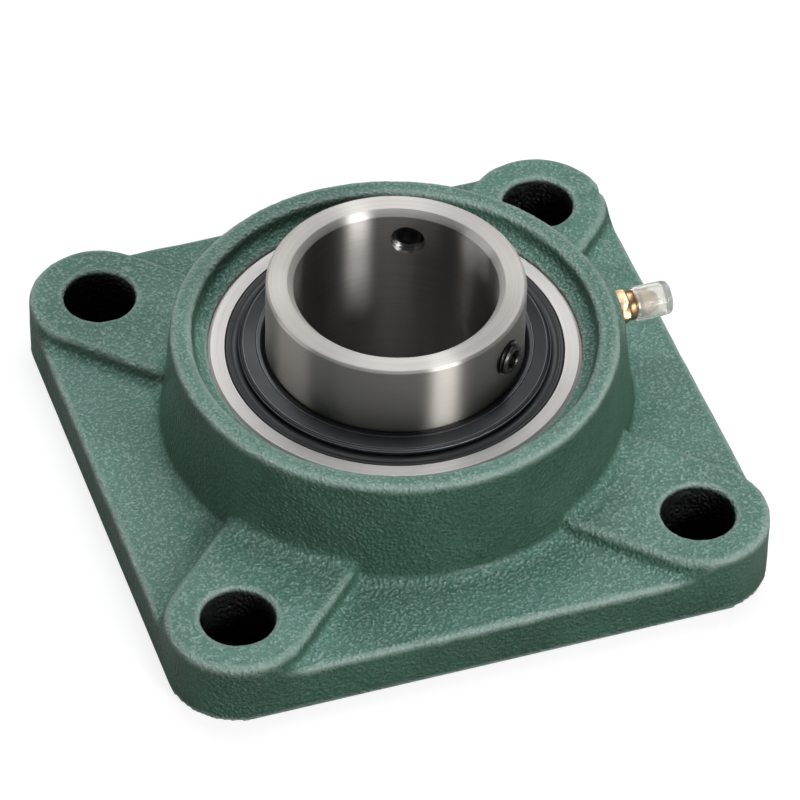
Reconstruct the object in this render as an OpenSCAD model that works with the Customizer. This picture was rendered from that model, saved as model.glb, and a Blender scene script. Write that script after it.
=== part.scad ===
// Four-bolt flange bearing unit for a 45 mm shaft.
// A square cast housing holds a wide-inner-ring ball bearing in a spherical seat.
// Origin: centre of the mounting face. +Z runs along the shaft axis to the nose.
// +X points to the grease nipple. All sizes are in millimetres.

/* [Flange] */
// Side of the square flange
flange_side = 137; // [132:0.5:142]
// Distance between neighbouring bolt hole centres
bolt_pitch = 105; // [101:0.5:109]
// Diameter of the bolt holes
bolt_hole_d = 16; // [12:0.5:18]
// Thickness of the flange between the bolt pads
flange_t = 12; // [10.5:0.5:12.5]
// Height of the bolt pads above the mounting face
pad_t = 16; // [15.5:0.5:18]
// Width of the raised pads at their top
pad_w = 31.2; // [28:0.2:34]
// Slope of the pad flanks from upright, in degrees
pad_draft = 19; // [5:1:25]
// Rounding of the outer cast edges
edge_r = 1; // [0.6:0.1:1.2]
// Fillet at the foot of the pads
pad_fillet_r = 1.2; // [0.6:0.1:1.6]
// Edge break at the mouth of each bolt hole
bolt_mouth = 0.5; // [0.2:0.1:1]

/* [Hub] */
// Height of the hub rim above the mounting face
housing_h = 38; // [36.5:0.5:42]
// Height of the bearing centre above the mounting face
seat_z = 22; // [21.5:0.5:23]
// Wall of the hub at its rim, outside the seat diameter
hub_wall = 7; // [6:0.2:9]
// Draft of the hub wall, in degrees
hub_draft = 5; // [2:0.5:7]
// Fillet where the hub meets the flange and the pads
hub_fillet_r = 3; // [1.5:0.25:4]
// Rounding of the rim's outer edge
rim_edge_r = 1.2; // [0.5:0.1:1.6]
// Gap between the rim's inner edge and the seat's diameter, on the radius
rim_gap = 2.5; // [2:0.1:3.5]
// Narrowing of the rim's inner wall over its depth, on the radius
rim_taper = 1.2; // [0.4:0.1:1.6]
// Width of the machined seat beyond each face of the outer ring
seat_extra = 0.3; // [0.1:0.1:0.8]
// Rise of the cast ledge outside the machined seat
ledge_rise = 1; // [0.5:0.1:1.5]
// Radial gap between the seat and the outer ring
seat_gap = 0.04; // [0.02:0.01:0.08]
// Depth of each loading slot beyond the seat radius
slot_relief = 0.4; // [0.2:0.1:1]
// Side play of the outer ring in the loading slots
slot_play = 0.8; // [0.4:0.1:1.5]

/* [Nipple boss] */
// Radius of the swelling behind the nipple
boss_r = 38.5; // [37:0.5:40]
// Reach of the swelling beyond the hub's wall, at the flange
boss_rise = 2.9; // [2.4:0.1:3.6]
// Draft of the swelling, in degrees
boss_draft = 7.5; // [6:0.5:9]
// Distance from the rim down to the top of the swelling
boss_drop = 1.4; // [1:0.1:2]
// Rounding of the swelling's top edge
boss_edge_r = 2.4; // [1:0.2:3]

/* [Bearing rings] */
// Shaft bore of the inner ring
bore_d = 45; // [43:0.5:46]
// Width of the inner ring
inner_w = 49.2; // [47:0.1:52]
// Distance from the bearing centre to the inner ring's rear end
inner_short = 19; // [17.5:0.5:20]
// Chamfer at both ends of the shaft bore
bore_chamfer = 1.35; // [0.5:0.05:1.8]
// Chamfer of the inner ring's outer corners
inner_chamfer = 0.6; // [0.2:0.1:1]
// Spherical outer diameter of the outer ring
outer_od = 85; // [84:0.5:86]
// Width of the outer ring
outer_w = 22; // [21.6:0.1:22.4]
// Depth of the raceways below their shoulders
race_depth = 2.35; // [2:0.05:2.6]
// Chamfer of the outer ring's outer corners
outer_chamfer = 0.5; // [0.2:0.1:0.8]
// Width of the grease groove round the outer ring
groove_w = 2.6; // [1.8:0.1:3]
// Depth of the grease groove
groove_depth = 0.7; // [0.4:0.1:1]
// Distance of the grease groove and nipple from the bearing centre
groove_offset = 7.8; // [7.4:0.1:8]
// Diameter of the grease holes through the outer ring
ring_hole_d = 1.6; // [1:0.1:2]

/* [Balls and cage] */
// Ball diameter beyond a fifth of the section from the shaft bore to the outside
ball_base = 4.7; // [4.3:0.1:4.9]
// Number of balls
ball_count = 9; // [7:1:9]
// Radius of the raceway grooves beyond the radius of the balls
race_relief = 0.19; // [0.1:0.01:0.3]
// Gap between a ball and each raceway
ball_gap = 0.02; // [0.01:0.005:0.05]
// Gap between a ball and its cage pocket
pocket_gap = 0.15; // [0.1:0.01:0.25]
// Sheet thickness of the cage
cage_t = 0.9; // [0.6:0.05:1]
// Width of the cage ribbon
cage_w = 5.6; // [4.5:0.1:6]
// Shank diameter of the cage rivets
rivet_d = 1.6; // [1:0.1:2]
// Head diameter of the cage rivets
rivet_head_d = 3; // [2.4:0.1:3.4]
// Head height of the cage rivets
rivet_head_h = 0.6; // [0.3:0.1:0.8]
// Gap between a rivet's shank and its hole, on the radius
rivet_fit = 0.02; // [0.01:0.01:0.05]

/* [Seals] */
// Depth of the seal recess in the outer ring's faces
seal_recess = 2; // [1.8:0.05:2.2]
// Width of the seal recess's floor beside the raceway shoulder
seal_step = 1; // [0.8:0.05:1.2]
// Undercut that holds the shield's rim, on the radius
seal_undercut = 0.5; // [0.3:0.05:0.7]
// Sheet thickness of the steel shields
shield_t = 0.5; // [0.4:0.05:0.6]
// Gap between the steel shields and the undercut that holds them
seal_fit = 0.02; // [0.01:0.01:0.04]
// Gap between the steel shields and the inner ring
shield_clear = 2.9; // [2.7:0.05:3.4]
// Height that the rubber stands proud of the outer ring's face
rubber_proud = 0.1; // [0:0.05:0.2]
// Gap between the sealing lip and the inner ring
lip_gap = 0.06; // [0.03:0.01:0.09]
// Sheet thickness of the slingers
slinger_t = 0.8; // [0.6:0.05:0.9]
// Reach of the slingers beyond the inner ring
slinger_reach = 5.9; // [4.5:0.1:6.3]
// Height of the slinger's crown above the outer ring's face
slinger_crown = 2; // [1.9:0.05:2.4]
// Fall of the slinger's flange from its crown to its rim
slinger_fall = 0.9; // [0.5:0.05:1]
// Play of the slinger's sleeve on the inner ring
slinger_fit = 0.02; // [0.01:0.005:0.03]

/* [Set screws] */
// Thread diameter of the set screws
screw_d = 8; // [7:0.5:8]
// Thread pitch of the set screws
screw_pitch = 1; // [0.75:0.25:1]
// Length of the set screws
screw_l = 6; // [5.5:0.25:8]
// Distance of the set screws from the inner ring's nose
screw_inset = 8; // [7:0.25:9]
// Depth of the screw tips behind the shaft bore
screw_recess = 1.5; // [1:0.1:2]
// Direction of the first set screw, in degrees from +X
screw_angle = 65; // [60:1:70]
// Angle between the two set screws, in degrees
screw_spread = 115; // [108:1:122]
// Width across flats of the hexagon socket
socket_af = 4; // [3:0.5:4.5]
// Depth of the hexagon socket
socket_depth = 3; // [2:0.25:3.5]
// Radial gap of each drawn thread in its hole
thread_gap = 0.03; // [0.02:0.01:0.05]

/* [Grease nipple] */
// Thread diameter of the nipple
nipple_thread_d = 6; // [5.5:0.5:6]
// Length of the nipple's thread in the housing
nipple_thread_l = 7; // [6:0.25:7.5]
// Width across flats of the nipple's hexagon
nipple_af = 7; // [6.5:0.5:7.5]
// Thickness of the nipple's hexagon
nipple_hex_t = 2.3; // [2:0.1:2.6]
// Diameter of the collar above the hexagon
nipple_collar_d = 6.9; // [6.5:0.1:7.2]
// Thickness of the collar
nipple_collar_t = 1.8; // [1.4:0.1:2]
// Diameter of the nipple's head
nipple_head_d = 6.2; // [5.8:0.1:6.3]
// Length of the neck and head beyond the collar
nipple_head_l = 5.3; // [5:0.1:5.6]
// Diameter of the check ball
check_ball_d = 2.9; // [2.7:0.1:3]
// Inward travel of the check ball
check_travel = 1.5; // [1:0.1:1.6]
// Wire diameter of the check ball's spring
spring_wire = 0.3; // [0.2:0.05:0.35]
// Number of turns of the check ball's spring
spring_turns = 4; // [3:0.5:4]
// Wall of the dust cap between its ribs
cap_wall = 0.55; // [0.4:0.05:0.8]
// Air space between the nipple's tip and the dust cap's end
cap_air = 1.35; // [0.5:0.05:2]
// Radial play of the dust cap on the nipple's head
cap_play = 0.1; // [0.05:0.01:0.2]
// Thickness of the dust cap's closed end
cap_end_t = 1.6; // [1:0.1:2]
// Number of grip ribs on the dust cap
cap_ribs = 10; // [6:1:12]
// Height of the grip ribs
cap_rib_h = 0.25; // [0.15:0.05:0.3]

/* [Hidden] */
$fn = 96;
BALLS = [for (i = [1 : ball_count]) str("ball_", i)];

// Length by which a cut runs past the surface that it opens
over = 1;
// Points along each rounded edge or fillet of a cast or pressed profile
arc_steps = 6;
corner_r = (flange_side - bolt_pitch) / 2;
seat_r = outer_od / 2 + seat_gap;
seat_half = outer_w / 2 + seat_extra;
rim_r = outer_od / 2 + hub_wall;
rim_bore_r = outer_od / 2 + rim_gap;
hub_foot_r = rim_r + (housing_h - flange_t) * tan(hub_draft);
ridge_half = pad_w / 2 + (pad_t - flange_t) * tan(pad_draft);
boss_reach = hub_foot_r + boss_rise;
boss_x = boss_reach - boss_r;
boss_h = housing_h - boss_drop;
// The balls run midway between the shaft and the outside of the outer ring
pitch_r = (bore_d + outer_od) / 4;
ball_d = ball_base + (outer_od - bore_d) / 5;
ball_r = ball_d / 2;
race_r = ball_r + race_relief;
outer_race_x = pitch_r + ball_r + ball_gap - race_r;
inner_race_x = pitch_r - ball_r - ball_gap + race_r;
inner_r = pitch_r - ball_r + race_depth;
land_r = pitch_r + ball_r - race_depth;
nose_z = seat_z - inner_short + inner_w;
pocket_r = ball_r + pocket_gap;
cage_in = pitch_r - cage_w / 2;
cage_out = pitch_r + cage_w / 2;
half_w = outer_w / 2;
recess_r = land_r + seal_step;
recess_floor = half_w - seal_recess;
shield_bore_r = inner_r + shield_clear;
slinger_in = inner_r + slinger_fit;
slinger_rim = inner_r + slinger_reach;
// Radius of the bend between the slinger's sleeve and flange, on its inside
slinger_bend = 0.6;
// Height of the slinger's sleeve below the bend
slinger_sleeve = 1.3;
// A drawn thread is a plain cylinder of the thread's mean diameter
screw_r = (screw_d - 0.65 * screw_pitch) / 2;
screw_z = nose_z - screw_inset;
screw_tip_r = bore_d / 2 + screw_recess;
nipple_r = (nipple_thread_d - 0.65) / 2;
nipple_z = seat_z + groove_offset;
// Depth of the flat that is faced for the nipple, behind the swelling's surface
spot_depth = 0.4;
spot_r = nipple_af / 2 / cos(30) + 0.5;
nipple_x = boss_reach - (nipple_z - flange_t) * tan(boss_draft) - spot_depth;
// Radius of the grease passages in the housing and in the nipple
passage_r = 1.7;
nipple_bore_r = 0.9;
nipple_tip = nipple_hex_t + nipple_collar_t + nipple_head_l;
// Wall that keeps the check ball in at the nipple's tip
tip_wall = 0.8;
check_r = check_ball_d / 2;
chamber_r = check_r + 0.1;
// Place of the check ball on the nipple's axis, closed against its seat at the tip
check_x = nipple_tip - tip_wall - sqrt(pow(check_r + 0.02, 2) - pow(nipple_bore_r, 2));
// Rear end of the chamber, with room for the ball's travel and the closed spring
chamber_start = check_x - check_r - check_travel - (spring_turns + 1) * spring_wire;
cap_gap = 0.05;
cap_start = nipple_hex_t + nipple_collar_t + cap_gap;
cap_bore_r = nipple_head_d / 2 + cap_play;
cap_r = cap_bore_r + cap_wall;
cap_l = nipple_head_l - cap_gap + cap_air + cap_end_t;
// Half width and profile of the pad ridges' flanks, from the foot to the top
ridge_flank = cast_wall(ridge_half, flange_t, pad_t, pad_draft, pad_fillet_r, edge_r);
ridge_top = ridge_flank[len(ridge_flank) - 1][0];
// Start of the fillets on the pads, under their tops and inside their rounded edges
root_sink = 0.05;
root_inset = 0.4;

// Points of an arc from angle a0 to a1 round a centre
function arc(cx, cy, r, a0, a1) =
    [for (i = [0 : arc_steps]) let (a = a0 + (a1 - a0) * i / arc_steps)
        [cx + r * cos(a), cy + r * sin(a)]];

// Outer face of a drafted cast wall, from its foot fillet up to its rounded edge
function cast_wall(x0, z0, z1, draft, fillet, edge) = concat(
    arc(x0 - fillet * tan(draft) + fillet / cos(draft), z0 + fillet, fillet, 270, 180 + draft),
    arc(x0 - (z1 - edge - z0) * tan(draft) - edge / cos(draft), z1 - edge, edge, draft, 90)
);

// Repeats a piece at every corner bolt
module at_bolts() {
    for (x = [-1, 1], y = [-1, 1])
        translate([x * bolt_pitch / 2, y * bolt_pitch / 2, 0]) children();
}

// Places a piece on the bearing centre, turned over for the rear side
module at_seat(rear = false) {
    translate([0, 0, seat_z]) mirror([0, 0, rear ? 1 : 0]) children();
}

// Repeats a piece round the pitch circle, half a pitch on if asked
module round_pitch(shift = 0) {
    for (i = [0 : ball_count - 1])
        rotate([0, 0, (i + shift) * 360 / ball_count]) translate([pitch_r, 0, 0]) children();
}

// Stands a piece that is drawn along +Z on the nipple's seat, pointing outwards
module at_nipple() {
    translate([nipple_x, 0, nipple_z]) rotate([0, 90, 0]) children();
}

// Square with round corners, set in from the flange's outline
module flange_outline(inset) {
    side = flange_side - 2 * inset;
    square([side, bolt_pitch], center = true);
    square([bolt_pitch, side], center = true);
    at_bolts() circle(r = corner_r - inset);
}

// Flange slab of a given height with a rounded top edge
module cast_slab(h) {
    linear_extrude(height = h - edge_r) flange_outline(0);
    linear_extrude(height = h) flange_outline(edge_r);
    for (a = [0 : 90 : 270])
        rotate([0, 0, a]) translate([flange_side / 2 - edge_r, 0, h - edge_r])
            rotate([90, 0, 0]) cylinder(r = edge_r, h = bolt_pitch, center = true);
    translate([0, 0, h - edge_r])
        at_bolts() rotate_extrude() translate([corner_r - edge_r, 0]) circle(r = edge_r);
}

// Ridge along one diagonal between two bolt holes, with a round pad at each end
module pad_ridge(angle) {
    half = concat([[ridge_flank[0][0], flange_t / 2]], ridge_flank);
    rotate([0, 0, angle]) {
        rotate([90, 0, 0]) linear_extrude(height = bolt_pitch * sqrt(2), center = true)
            polygon(concat(half, [for (i = [len(half) - 1 : -1 : 0]) [-half[i][0], half[i][1]]]));
        for (end = [0, 180])
            rotate([0, 0, end]) translate([0, bolt_pitch / sqrt(2), 0]) rotate_extrude(angle = 180)
                polygon(concat([[0, flange_t / 2]], half, [[0, pad_t]]));
    }
}

// Round hub with its foot fillet and rounded rim
module hub() {
    wall = cast_wall(hub_foot_r, flange_t, housing_h, hub_draft, hub_fillet_r, rim_edge_r);
    rotate_extrude() polygon(concat([[0, 0], [wall[0][0], 0]], wall, [[0, housing_h]]));
}

// Fillet between the hub and the top of each pad ridge
module pad_root() {
    low = pad_t - root_sink;
    half = ridge_top - root_inset;
    foot = hub_foot_r - (low - flange_t) * tan(hub_draft);
    wall = cast_wall(foot, low, housing_h, hub_draft, hub_fillet_r, rim_edge_r);
    intersection() {
        rotate_extrude() polygon(concat(
            [[seat_r + hub_wall / 2, flange_t], [wall[0][0], flange_t]],
            [for (i = [0 : arc_steps]) wall[i]],
            [[seat_r + hub_wall / 2, wall[arc_steps][1]]]
        ));
        for (a = [45, 135])
            rotate([0, 0, a]) rotate([90, 0, 0])
                linear_extrude(height = flange_side * 2, center = true) polygon([
                    [-half, 0],
                    [half, 0],
                    [half, low - root_inset],
                    [half - hub_fillet_r, low - root_inset + hub_fillet_r],
                    [hub_fillet_r - half, low - root_inset + hub_fillet_r],
                    [-half, low - root_inset]
                ]);
    }
}

// Swelling of the hub that carries the nipple
module nipple_boss() {
    wall = cast_wall(boss_r, flange_t, boss_h, boss_draft, hub_fillet_r, boss_edge_r);
    translate([boss_x, 0, 0])
        rotate_extrude() polygon(concat([[0, 0], [wall[0][0], 0]], wall, [[0, boss_h]]));
}

// Cast mouth of the seat, from its machined edge to an open end
module seat_mouth(depth, rear) {
    edge = sqrt(pow(seat_r, 2) - pow(seat_half, 2));
    at_seat(rear) rotate_extrude() polygon([
        [0, seat_half],
        [edge, seat_half],
        [rim_bore_r - rim_taper, seat_half + ledge_rise],
        [rim_bore_r, depth],
        [rim_bore_r + over * rim_taper / depth, depth + over],
        [0, depth + over]
    ]);
}

// Slots at the rear through which the outer ring enters edge on
module loading_slots() {
    intersection() {
        translate([0, 0, -over]) cylinder(r = seat_r + slot_relief, h = seat_z + over);
        cube([outer_w + slot_play, flange_side, 2 * seat_z + over], center = true);
    }
}

// Drilled and tapped way from the nipple to the seat
module nipple_hole() {
    at_nipple() {
        cylinder(r = spot_r, h = flange_side);
        translate([0, 0, -nipple_thread_l - over])
            cylinder(r = nipple_r + thread_gap, h = nipple_thread_l + 2 * over);
        translate([0, 0, seat_r / 2 - nipple_x]) cylinder(r = passage_r, h = nipple_x - seat_r / 2);
    }
}

module bolt_holes() {
    at_bolts() {
        translate([0, 0, -over]) cylinder(d = bolt_hole_d, h = pad_t + 2 * over);
        translate([0, 0, pad_t - bolt_mouth])
            cylinder(d1 = bolt_hole_d, d2 = bolt_hole_d + 2 * (bolt_mouth + over), h = bolt_mouth + over);
    }
}

module housing() {
    color("seagreen") difference() {
        union() {
            cast_slab(flange_t);
            intersection() {
                cast_slab(pad_t);
                union() {
                    pad_ridge(45);
                    pad_ridge(135);
                }
            }
            hub();
            pad_root();
            nipple_boss();
        }
        translate([0, 0, seat_z]) sphere(r = seat_r);
        seat_mouth(housing_h - seat_z, false);
        seat_mouth(seat_z, true);
        loading_slots();
        nipple_hole();
        bolt_holes();
    }
}

// Spherical outer ring with its raceway, seal recesses and grease groove
module outer_ring() {
    face_r = sqrt(pow(outer_od / 2, 2) - pow(half_w, 2)) - outer_chamfer;
    color("silver") at_seat() difference() {
        intersection() {
            sphere(d = outer_od);
            cylinder(d = outer_od + over, h = outer_w, center = true);
        }
        cylinder(r = land_r, h = outer_w + over, center = true);
        rotate_extrude() translate([outer_race_x, 0]) circle(r = race_r);
        for (side = [0, 1])
            mirror([0, 0, side]) {
                translate([0, 0, recess_floor]) cylinder(r = recess_r, h = seal_recess + over);
                translate([0, 0, recess_floor])
                    cylinder(r = recess_r + seal_undercut, h = shield_t + seal_fit);
                rotate_extrude() polygon([
                    [face_r, half_w],
                    [face_r + 2 * outer_chamfer + over, half_w - 2 * outer_chamfer - over],
                    [face_r + 2 * outer_chamfer + over, half_w + over],
                    [face_r, half_w + over]
                ]);
            }
        grease_groove();
    }
}

// Groove round the outer ring with two holes through to the balls
module grease_groove() {
    surface_r = sqrt(pow(outer_od / 2, 2) - pow(groove_offset, 2));
    translate([0, 0, groove_offset]) {
        rotate_extrude() translate([surface_r - groove_depth, -groove_w / 2])
            square([outer_od / 2, groove_w]);
        for (a = [60, 240])
            rotate([0, 90, a])
                translate([0, 0, land_r - over]) cylinder(d = ring_hole_d, h = outer_od / 2);
    }
}

// Wide inner ring with its raceway and two set screw holes
module inner_ring() {
    low = -inner_short;
    high = inner_w - inner_short;
    c = inner_chamfer;
    b = bore_d / 2;
    color("gainsboro") difference() {
        at_seat() difference() {
            rotate_extrude() polygon([
                [b / 2, low],
                [inner_r - c, low],
                [inner_r, low + c],
                [inner_r, high - c],
                [inner_r - c, high],
                [b / 2, high]
            ]);
            translate([0, 0, low - over]) cylinder(r = b, h = inner_w + 2 * over);
            translate([0, 0, low - over])
                cylinder(r1 = b + bore_chamfer + over, r2 = b, h = bore_chamfer + over);
            translate([0, 0, high - bore_chamfer])
                cylinder(r1 = b, r2 = b + bore_chamfer + over, h = bore_chamfer + over);
            rotate_extrude() translate([inner_race_x, 0]) circle(r = race_r);
        }
        for (a = [screw_angle, screw_angle - screw_spread]) screw_hole(a);
    }
}

// Tapped hole with a small countersink at its outer end
module screw_hole(angle) {
    sink = 0.8;
    rotate([0, 0, angle]) translate([0, 0, screw_z]) rotate([0, 90, 0]) {
        translate([0, 0, bore_d / 4]) cylinder(r = screw_r + thread_gap, h = inner_r);
        translate([0, 0, inner_r - sink])
            cylinder(r1 = screw_r + thread_gap, r2 = screw_r + thread_gap + sink + over, h = sink + over);
    }
}

// Half of the pressed ribbon cage: round pockets joined by flat riveted tabs
module cage_half(rear) {
    color("darkgray") at_seat(rear) difference() {
        intersection() {
            union() {
                cylinder(r = cage_out + over, h = cage_t);
                round_pitch() sphere(r = pocket_r + cage_t);
            }
            difference() {
                cylinder(r = cage_out, h = pocket_r + cage_t + over);
                translate([0, 0, -over]) cylinder(r = cage_in, h = pocket_r + cage_t + 3 * over);
            }
        }
        round_pitch() sphere(r = pocket_r);
        round_pitch(0.5) translate([0, 0, -over])
            cylinder(d = rivet_d + 2 * rivet_fit, h = cage_t + 2 * over);
    }
}

// Rivets that hold the two cage halves together, one between each two balls
module cage_rivets() {
    color("dimgray") at_seat() round_pitch(0.5) {
        cylinder(d = rivet_d, h = 2 * cage_t + rivet_head_h, center = true);
        for (side = [0, 1])
            mirror([0, 0, side]) translate([0, 0, cage_t])
                cylinder(d1 = rivet_head_d, d2 = rivet_head_d - rivet_head_h, h = rivet_head_h);
    }
}

module ball(i) {
    color("lightgray") at_seat()
        rotate([0, 0, (i - 1) * 360 / ball_count]) translate([pitch_r, 0, 0]) sphere(r = ball_r);
}

// Steel shield that snaps into the outer ring's undercut
module shield(rear) {
    color("dimgray") at_seat(rear) translate([0, 0, recess_floor]) difference() {
        cylinder(r = recess_r + seal_undercut - seal_fit, h = shield_t);
        translate([0, 0, -over]) cylinder(r = shield_bore_r, h = shield_t + 2 * over);
    }
}

// Rubber seal bonded to the shield, with a lip that runs on the inner ring
module seal_lip(rear) {
    top = half_w + rubber_proud;
    back = recess_floor + shield_t;
    bevel = 0.3;
    step = 0.2;
    core = shield_bore_r;
    lip = inner_r + lip_gap;
    color("#202226") at_seat(rear) rotate_extrude() polygon([
        [recess_r - 0.1, back],
        [recess_r - 0.1, top - bevel],
        [recess_r - 0.1 - bevel, top],
        [slinger_rim + bevel + step, top],
        [slinger_rim + bevel, top - step],
        [core - bevel, top - step],
        [core - 3 * bevel, top - step - 2 * bevel],
        [lip + 4 * bevel, back + 2 * bevel],
        [lip, back + bevel],
        [lip, back],
        [lip + 4 * bevel, back - step],
        [core - 3 * bevel, recess_floor],
        [core - seal_fit, recess_floor],
        [core - seal_fit, back]
    ]);
}

// Pressed slinger on the inner ring: a short sleeve bent out into a coned flange
module slinger(rear) {
    crown = half_w + slinger_crown;
    outside = slinger_bend + slinger_t;
    bend_x = slinger_in + outside;
    bend_z = crown - outside;
    color("#2b2d33") at_seat(rear) rotate_extrude() polygon(concat(
        [[slinger_in, bend_z - slinger_sleeve], [slinger_in + slinger_t, bend_z - slinger_sleeve]],
        arc(bend_x, bend_z, slinger_bend, 180, 90),
        [[slinger_rim, crown - slinger_fall - slinger_t], [slinger_rim, crown - slinger_fall]],
        arc(bend_x, bend_z, outside, 90, 180)
    ));
}

// Headless screw with a hexagon socket outside and a cup point inside
module set_screw(angle) {
    cup_r = screw_r / 2;
    drill_h = screw_r / 6;
    break = 0.4;
    color("#26282b") rotate([0, 0, angle]) translate([screw_tip_r, 0, screw_z]) rotate([0, 90, 0])
        difference() {
            union() {
                cylinder(r1 = screw_r - 2 * break, r2 = screw_r, h = 2 * break);
                translate([0, 0, 2 * break]) cylinder(r = screw_r, h = screw_l - 3 * break);
                translate([0, 0, screw_l - break]) cylinder(r1 = screw_r, r2 = screw_r - break, h = break);
            }
            translate([0, 0, -over])
                cylinder(r1 = cup_r + over / tan(30), r2 = 0, h = cup_r * tan(30) + over);
            translate([0, 0, screw_l - socket_depth])
                cylinder(r = socket_af / 2 / cos(30), h = socket_depth + over, $fn = 6);
            translate([0, 0, screw_l - socket_depth - drill_h])
                cylinder(r1 = 0, r2 = socket_af / 2, h = drill_h);
        }
}

// Straight grease nipple: thread, hexagon, collar, neck and grooved head
module nipple_body() {
    collar_z = nipple_hex_t + nipple_collar_t;
    head_r = nipple_head_d / 2;
    neck_r = head_r - 0.8;
    corner = nipple_af / 2 / cos(30);
    color("#c9a96a") at_nipple() difference() {
        union() {
            translate([0, 0, -nipple_thread_l]) cylinder(r = nipple_r, h = nipple_thread_l + nipple_hex_t);
            intersection() {
                cylinder(r = corner, h = nipple_hex_t, $fn = 6);
                cylinder(r1 = corner + nipple_hex_t - 0.3, r2 = corner - 0.3, h = nipple_hex_t);
            }
            rotate_extrude() polygon([
                [0, 0],
                [nipple_collar_d / 2 - 0.3, 0],
                [nipple_collar_d / 2 - 0.3, nipple_hex_t],
                [nipple_collar_d / 2, nipple_hex_t],
                [nipple_collar_d / 2, collar_z - 0.3],
                [nipple_collar_d / 2 - 0.3, collar_z],
                [neck_r, collar_z],
                [neck_r, collar_z + 0.9],
                [head_r, collar_z + 1.6],
                [head_r, nipple_tip - 2],
                [nipple_bore_r + 1, nipple_tip],
                [0, nipple_tip]
            ]);
        }
        translate([0, 0, -nipple_thread_l - over])
            cylinder(r = nipple_bore_r, h = nipple_thread_l + nipple_tip + 2 * over);
        translate([0, 0, chamber_start]) cylinder(r = chamber_r, h = nipple_tip - tip_wall - chamber_start);
    }
}

module nipple_ball() {
    color("silver") at_nipple() translate([0, 0, check_x]) sphere(r = check_r);
}

// Compression spring behind the check ball: a round wire swept along a helix
module nipple_spring() {
    sides = 6;
    steps = 14;
    wire_r = spring_wire / 2;
    coil_r = chamber_r - 0.1 - wire_r;
    start = chamber_start + wire_r + 0.02;
    seat = sqrt(pow(check_r + wire_r + 0.02, 2) - pow(coil_r, 2));
    rise = check_x - seat - start;
    rings = floor(spring_turns * steps);
    points = [for (i = [0 : rings], j = [0 : sides - 1])
        let (a = 360 * i / steps, b = 360 * j / sides, r = coil_r + wire_r * cos(b))
            [r * cos(a), r * sin(a), start + rise * i / rings + wire_r * sin(b)]];
    quads = [for (i = [0 : rings - 1], j = [0 : sides - 1])
        let (k = (j + 1) % sides)
            [i * sides + j, i * sides + k, (i + 1) * sides + k, (i + 1) * sides + j]];
    ends = [[for (j = [sides - 1 : -1 : 0]) j], [for (j = [0 : sides - 1]) rings * sides + j]];
    color("slategray") at_nipple() polyhedron(points = points, faces = concat(quads, ends));
}

// Ribbed plastic dust cap that pushes over the nipple's head
module nipple_cap() {
    rib_r = 0.5;
    bevel = 0.6;
    color("whitesmoke") at_nipple() translate([0, 0, cap_start]) difference() {
        union() {
            cylinder(r = cap_r, h = cap_l - bevel);
            translate([0, 0, cap_l - bevel]) cylinder(r1 = cap_r, r2 = cap_r - bevel, h = bevel);
            for (i = [0 : cap_ribs - 1])
                rotate([0, 0, i * 360 / cap_ribs]) translate([cap_r + cap_rib_h - rib_r, 0, 0])
                    cylinder(r = rib_r, h = cap_l - 1.5 * bevel);
        }
        translate([0, 0, -over]) cylinder(r = cap_bore_r, h = cap_l - cap_end_t + over);
    }
}

housing();
outer_ring();
inner_ring();
cage_half(false);  // cage_front
cage_half(true);  // cage_rear
cage_rivets();
for (i = [1 : ball_count]) ball(i);
shield(false);  // front_shield
seal_lip(false);  // front_seal_lip
shield(true);  // rear_shield
seal_lip(true);  // rear_seal_lip
slinger(false);  // front_slinger
slinger(true);  // rear_slinger
set_screw(screw_angle);  // set_screw_a
set_screw(screw_angle - screw_spread);  // set_screw_b
nipple_body();
nipple_ball();
nipple_spring();
nipple_cap();
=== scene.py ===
"""Four-bolt flange bearing on a studio table.

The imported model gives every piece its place. This script makes the pieces that show, with
their casting skin, threads, grinding marks and seals, and gives each one its finish.
"""
import logging
import math
from dataclasses import dataclass
from enum import Enum
from typing import Any, Iterable, Optional, Sequence

import bmesh
import bpy
from mathutils import Matrix, Vector, noise


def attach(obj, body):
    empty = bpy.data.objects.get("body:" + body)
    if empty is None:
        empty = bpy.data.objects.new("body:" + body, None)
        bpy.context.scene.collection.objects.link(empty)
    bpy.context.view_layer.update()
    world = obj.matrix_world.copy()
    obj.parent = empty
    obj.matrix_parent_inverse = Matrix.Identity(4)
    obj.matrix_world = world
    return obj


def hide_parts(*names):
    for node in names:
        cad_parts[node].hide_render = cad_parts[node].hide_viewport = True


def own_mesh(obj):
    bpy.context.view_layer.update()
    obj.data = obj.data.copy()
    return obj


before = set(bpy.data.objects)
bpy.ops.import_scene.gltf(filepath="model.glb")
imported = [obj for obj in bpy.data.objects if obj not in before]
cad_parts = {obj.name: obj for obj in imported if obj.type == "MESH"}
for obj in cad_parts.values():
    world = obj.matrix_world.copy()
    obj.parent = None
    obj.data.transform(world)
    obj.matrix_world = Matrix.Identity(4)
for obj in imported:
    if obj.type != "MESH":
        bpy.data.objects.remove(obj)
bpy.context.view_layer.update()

log = logging.getLogger("flange_bearing")

MM = 0.001
SEAT_Z = 22.0  # bearing centre over the mounting face
SCREW_Z = 44.2  # set screws over the mounting face
SCREW_ANGLES = {"a": 65.0, "b": -50.0}  # from +X
LAID = Matrix.Rotation(math.radians(90), 4, "Y")  # lays along +X what is drawn along +Z
Point = tuple[float, float]
Colour = tuple[float, float, float, float]
Socket = bpy.types.NodeSocket
WHITE: Colour = (1.0, 1.0, 1.0, 1.0)


# --- Shapes ---


def arc(centre: Point, radius: float, start: float, end: float, steps: int = 6) -> list[Point]:
    """Points of an arc in a turning profile, from one angle in degrees to another, in equal chords."""
    angles = [math.radians(start + (end - start) * i / steps) for i in range(steps + 1)]
    return [(centre[0] + radius * math.cos(a), centre[1] + radius * math.sin(a)) for a in angles]


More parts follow.
